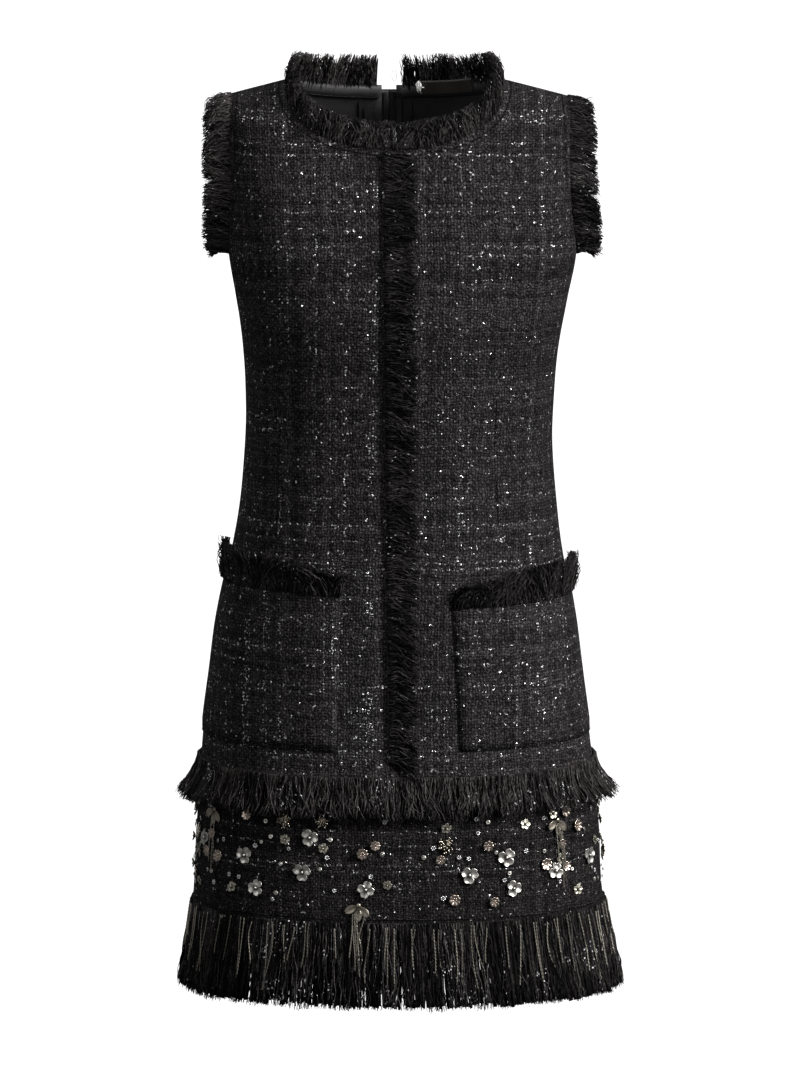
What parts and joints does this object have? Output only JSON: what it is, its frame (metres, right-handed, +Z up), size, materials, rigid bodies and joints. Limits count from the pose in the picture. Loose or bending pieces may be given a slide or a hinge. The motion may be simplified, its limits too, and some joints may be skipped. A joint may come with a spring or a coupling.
{
  "type": "a-line dress",
  "caption": "Sleeveless A-line mini dress of black bouclé tweed with fringed neck, armholes, placket, patch pockets, hip seam and hem, and a band of metal flowers.",
  "frame": {"origin": "at the height of the two neck points, where the shoulder seams meet the neck, in the middle of the dress", "axes": "+Z up, the front faces -Y, +X to the right as seen from the front"},
  "size_m": [0.4233, 0.2743, 0.8938],
  "materials": {
    "tweed": "loose basket-weave bouclé with a fine metallic window check",
    "fringe_yarn": "soft unravelled yarn",
    "lining": "smooth woven lining with a low sheen",
    "zip_tape": "woven tape",
    "label_ribbon": "blank satin ribbon",
    "zip_metal": "satin",
    "pewter": "antiqued, pewter coloured"
  },
  "bodies": {
    "dress": {"front_left": "tweed", "front_right": "tweed", "back_left": "tweed", "back_right": "tweed", "band_front": "tweed", "band_back": "tweed", "pocket_left": "tweed", "pocket_right": "tweed", "pocket_fringe_left": "fringe_yarn", "pocket_fringe_right": "fringe_yarn", "neck_fringe_front": "fringe_yarn", "neck_fringe_back_left": "fringe_yarn", "neck_fringe_back_right": "fringe_yarn", "armhole_fringe_left": "fringe_yarn", "armhole_fringe_right": "fringe_yarn", "placket_fringe": "fringe_yarn", "hip_fringe_front": "fringe_yarn", "hip_fringe_back": "fringe_yarn", "hem_fringe_front": "fringe_yarn", "hem_fringe_back": "fringe_yarn", "lining_back_left": "lining", "lining_back_right": "lining", "zip_tape_left": "zip_tape", "zip_tape_right": "zip_tape", "zip_slider": "zip_metal", "neck_label": "label_ribbon", "flower_1": "pewter", "flower_2": "pewter", "flower_3": "pewter", "flower_4": "pewter", "flower_5": "pewter", "flower_6": "pewter", "flower_7": "pewter", "flower_8": "pewter", "flower_9": "pewter", "flower_10": "pewter", "flower_11": "pewter", "flower_12": "pewter", "flower_13": "pewter", "flower_14": "pewter", "flower_15": "pewter", "flower_16": "pewter", "flower_17": "pewter", "flower_18": "pewter", "flower_19": "pewter", "leaf_spray_1": "pewter", "leaf_spray_2": "pewter", "leaf_spray_3": "pewter", "leaf_spray_4": "pewter", "leaf_spray_5": "pewter"},
    "zip_pull": {"zip_pull": "zip_metal"}
  },
  "joints": [
    {"name": "zip_pull_swing", "type": "hinge", "parent": "dress", "child": "zip_pull", "pos_m": [-0.00962, 0.0841, -0.02834], "axis": [1, 0, 0], "range_deg": [0, 165]}
  ]
}
